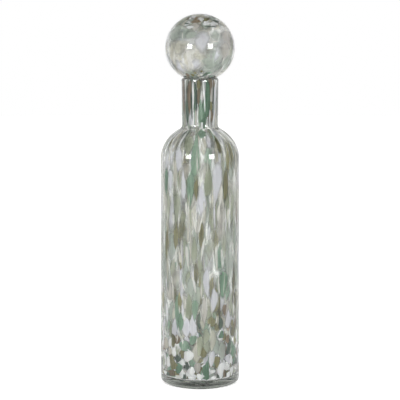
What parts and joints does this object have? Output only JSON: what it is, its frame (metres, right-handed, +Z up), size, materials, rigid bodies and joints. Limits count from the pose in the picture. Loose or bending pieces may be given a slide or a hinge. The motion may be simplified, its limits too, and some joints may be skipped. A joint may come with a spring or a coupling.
{
  "type": "stoppered glass bottle",
  "caption": "Tall round hand-blown glass bottle with fused coloured chips, a domed shoulder, a straight neck and a hollow glass ball stopper that lifts out.",
  "frame": {"origin": "centre of the foot ring's plane, on the bottle's axis", "axes": "+Z up along the bottle's axis, out of its mouth; the part is round, so +X and -Y are any two directions across it"},
  "size_m": [0.11, 0.11, 0.5096],
  "materials": {
    "foot_glass": "gloss",
    "body_glass": "gloss",
    "shoulder_glass": "gloss",
    "neck_glass": "gloss",
    "ball_glass": "gloss",
    "stem_glass": "gloss"
  },
  "bodies": {
    "bottle": {"bottle_foot": "foot_glass", "bottle_body": "body_glass", "bottle_shoulder": "shoulder_glass", "bottle_neck": "neck_glass"},
    "stopper": {"stopper_ball": "ball_glass", "stopper_stem": "stem_glass"}
  },
  "joints": [
    {"name": "stopper_lift", "type": "slide", "parent": "bottle", "child": "stopper", "axis": [0, 0, 1], "range_m": [0, 0.07]}
  ]
}
